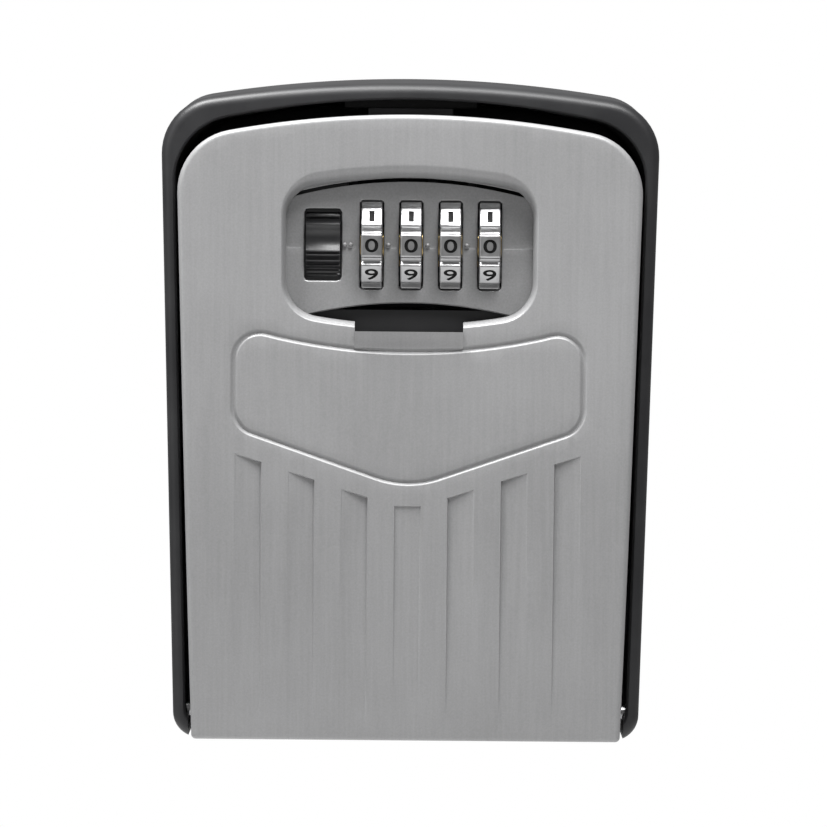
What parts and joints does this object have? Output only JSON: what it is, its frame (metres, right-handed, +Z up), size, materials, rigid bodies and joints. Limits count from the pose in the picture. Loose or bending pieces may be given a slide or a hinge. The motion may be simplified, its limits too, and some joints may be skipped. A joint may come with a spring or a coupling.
{
  "type": "key cabinet",
  "caption": "Small wall-mounted key cabinet with a drop-down arched door, combination wheels, a release slider and a sprung latch.",
  "frame": {"origin": "centre of the flat back face, on the wall plane", "axes": "+Y into the wall and out of the back face, +Z up along the cabinet's height, +X to the right seen from the front; the door faces -Y"},
  "size_m": [0.105, 0.0488, 0.14],
  "materials": {
    "housing_paint": "satin black paint",
    "door_paint": "satin silver-grey paint",
    "black_plastic": "satin black",
    "bright_chrome": "bright plating with dark figures",
    "plain_steel": "plain",
    "cam_brass": "turned"
  },
  "bodies": {
    "housing": {"housing_shell": "housing_paint", "hinge_pin": "plain_steel"},
    "door": {"door_shell": "door_paint", "dial_plate": "door_paint", "lock_case": "black_plastic", "rear_cover": "black_plastic", "dial_shaft": "plain_steel", "detent_spring": "plain_steel", "shaft_spring": "plain_steel", "return_spring": "plain_steel", "lever_rivet": "plain_steel", "cover_screw_1": "plain_steel", "cover_screw_2": "plain_steel", "cover_screw_3": "plain_steel", "cover_screw_4": "plain_steel"},
    "release": {"release_slider": "black_plastic", "latch_bolt": "plain_steel"},
    "reset": {"reset_lever": "black_plastic"},
    "wheel_1": {"number_wheel_1": "bright_chrome", "wheel_cam_1": "cam_brass"},
    "wheel_2": {"number_wheel_2": "bright_chrome", "wheel_cam_2": "cam_brass"},
    "wheel_3": {"number_wheel_3": "bright_chrome", "wheel_cam_3": "cam_brass"},
    "wheel_4": {"number_wheel_4": "bright_chrome", "wheel_cam_4": "cam_brass"}
  },
  "joints": [
    {"name": "door_hinge", "type": "hinge", "parent": "housing", "child": "door", "pos_m": [0, -0.031, -0.0645], "axis": [1, 0, 0], "range_deg": [0, 105]},
    {"name": "release_slide", "type": "slide", "parent": "door", "child": "release", "axis": [0, 0, 1], "range_m": [-0.0024, 0], "stiffness_N_per_m": 300, "springref_m": 0.004, "deforming": ["return_spring"]},
    {"name": "reset_pivot", "type": "hinge", "parent": "door", "child": "reset", "pos_m": [0.018, -0.0222, 0.027], "axis": [0, 1, 0], "range_deg": [0, 60]},
    {"name": "wheel_1_spin", "type": "hinge", "parent": "door", "child": "wheel_1", "pos_m": [-0.0079, -0.0371, 0.0347], "axis": [1, 0, 0], "continuous": true},
    {"name": "wheel_2_spin", "type": "hinge", "parent": "door", "child": "wheel_2", "pos_m": [0.0003, -0.0371, 0.0347], "axis": [1, 0, 0], "continuous": true},
    {"name": "wheel_3_spin", "type": "hinge", "parent": "door", "child": "wheel_3", "pos_m": [0.0085, -0.0371, 0.0347], "axis": [1, 0, 0], "continuous": true},
    {"name": "wheel_4_spin", "type": "hinge", "parent": "door", "child": "wheel_4", "pos_m": [0.0167, -0.0371, 0.0347], "axis": [1, 0, 0], "continuous": true}
  ]
}
